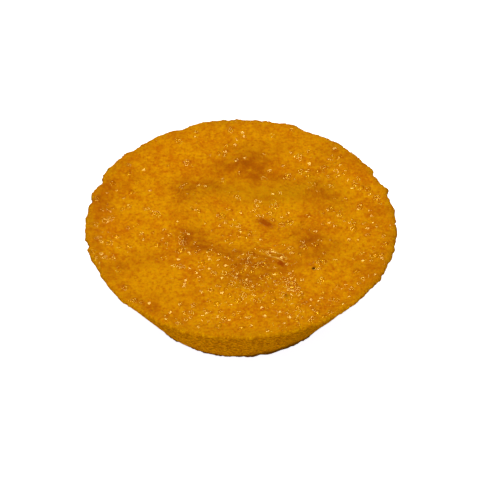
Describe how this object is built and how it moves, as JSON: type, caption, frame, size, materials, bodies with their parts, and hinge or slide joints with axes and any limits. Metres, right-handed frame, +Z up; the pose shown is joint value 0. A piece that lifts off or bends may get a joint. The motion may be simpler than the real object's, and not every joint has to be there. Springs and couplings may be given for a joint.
{
  "type": "carrot custard tartlet",
  "caption": "Round, strongly tapered custard tartlet without pastry, with a thin ragged lip, a slightly sunk middle and a blistered top that browned in patches.",
  "frame": {"origin": "middle of the flat base, under the middle of the rim, on the table", "axes": "+Z up, +X to the right and -Y towards the viewer of the picture"},
  "size_m": [0.0756, 0.0754, 0.0229],
  "materials": {
    "custard": "baked carrot custard: golden orange, moist with small glossy blisters and brown patches on top, matt and finely grained at the side"
  },
  "bodies": {
    "root": {"tartlet": "custard"}
  },
  "joints": []
}
